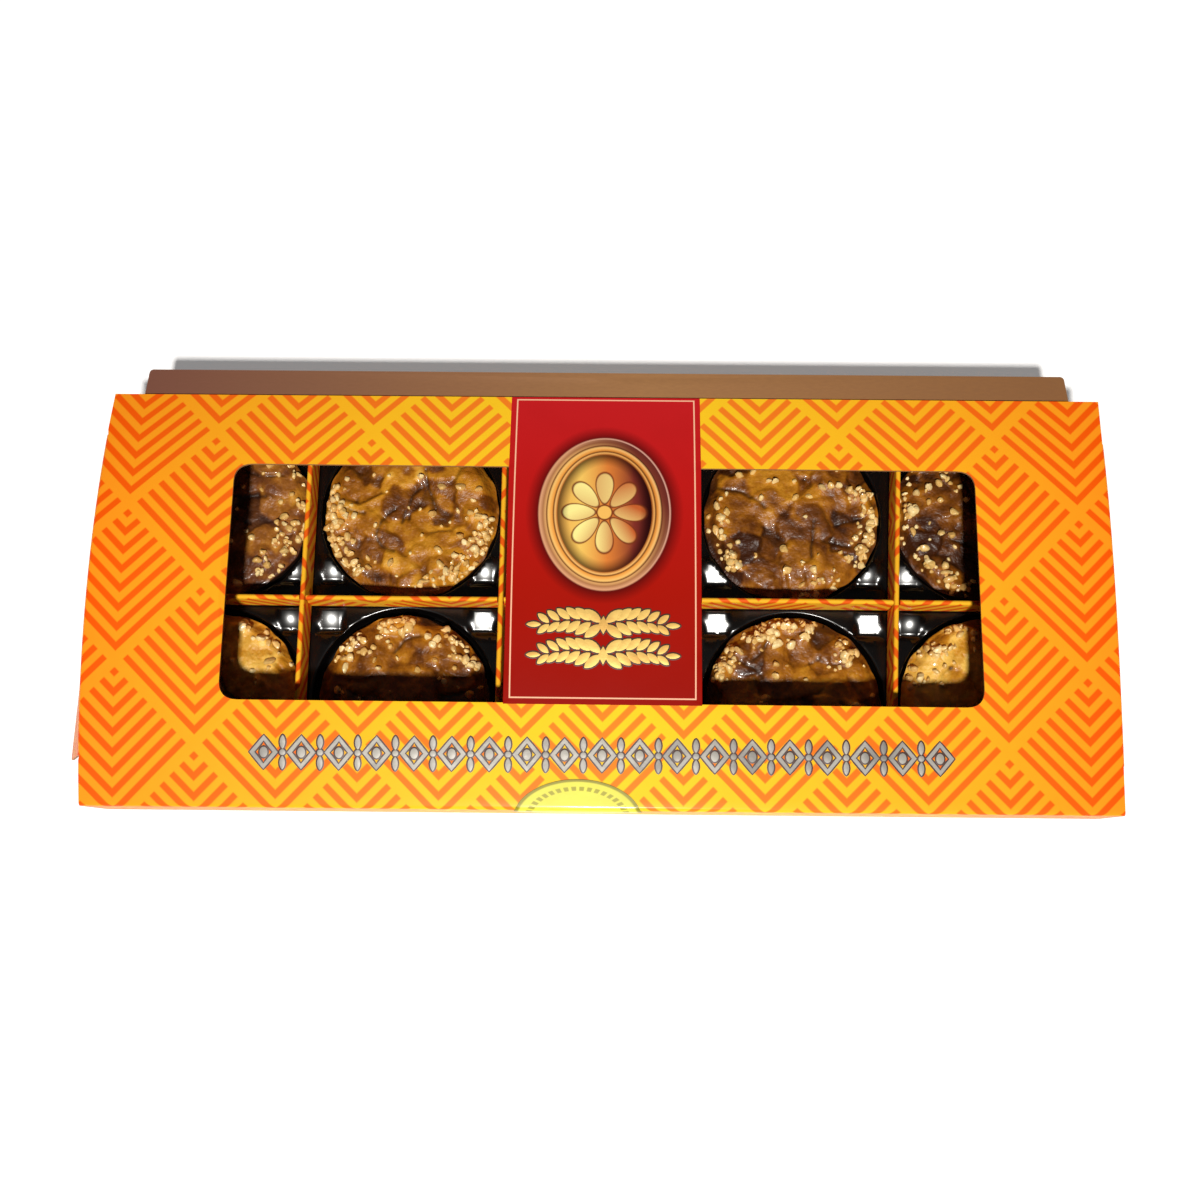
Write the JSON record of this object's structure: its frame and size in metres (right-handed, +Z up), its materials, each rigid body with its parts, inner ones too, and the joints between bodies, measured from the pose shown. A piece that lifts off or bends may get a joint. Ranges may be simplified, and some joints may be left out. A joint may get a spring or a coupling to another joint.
{
  "type": "window carton of florentine biscuits",
  "caption": "Shut flat card carton with an arched printed lid, two film windows, and florentine biscuits in a black formed insert with card dividers.",
  "frame": {"origin": "middle of the underside of the whole carton's box, on the surface it rests on", "axes": "+X along the carton to the right, +Y from the sealed front edge to the back flap, +Z up"},
  "size_m": [0.3558, 0.1518, 0.0395],
  "materials": {
    "brown_card": "satin coated card, brown outside",
    "printed_card": "satin coated card with a yellow and orange chevron print and a red bridge panel",
    "clear_film": "thin clear gloss film",
    "lime_sticker": "gloss lime yellow paper sticker",
    "black_formed_sheet": "gloss black thermoformed sheet",
    "divider_card": "satin orange printed card with pale cut edges",
    "florentine": "glossy amber caramel with flaked almonds, chopped nuts and a dark chocolate foot",
    "dark_chocolate": "satin dark chocolate",
    "almond": "toasted almond flakes and chopped nuts under caramel",
    "metal_foil": "hot stamped foil in gold or silver"
  },
  "bodies": {
    "root": {"carton_tray": "brown_card", "carton_lid": "printed_card", "window_film_left": "clear_film", "window_film_right": "clear_film", "seal_sticker": "lime_sticker", "insert_tray": "black_formed_sheet", "divider_long": "divider_card", "divider_cross_1": "divider_card", "divider_cross_2": "divider_card", "divider_cross_3": "divider_card", "divider_cross_4": "divider_card", "florentine_01": "florentine", "florentine_02": "florentine", "florentine_03": "florentine", "florentine_04": "florentine", "florentine_05": "florentine", "florentine_06": "florentine", "florentine_07": "florentine", "florentine_08": "florentine", "florentine_09": "florentine", "florentine_10": "florentine"}
  },
  "joints": []
}
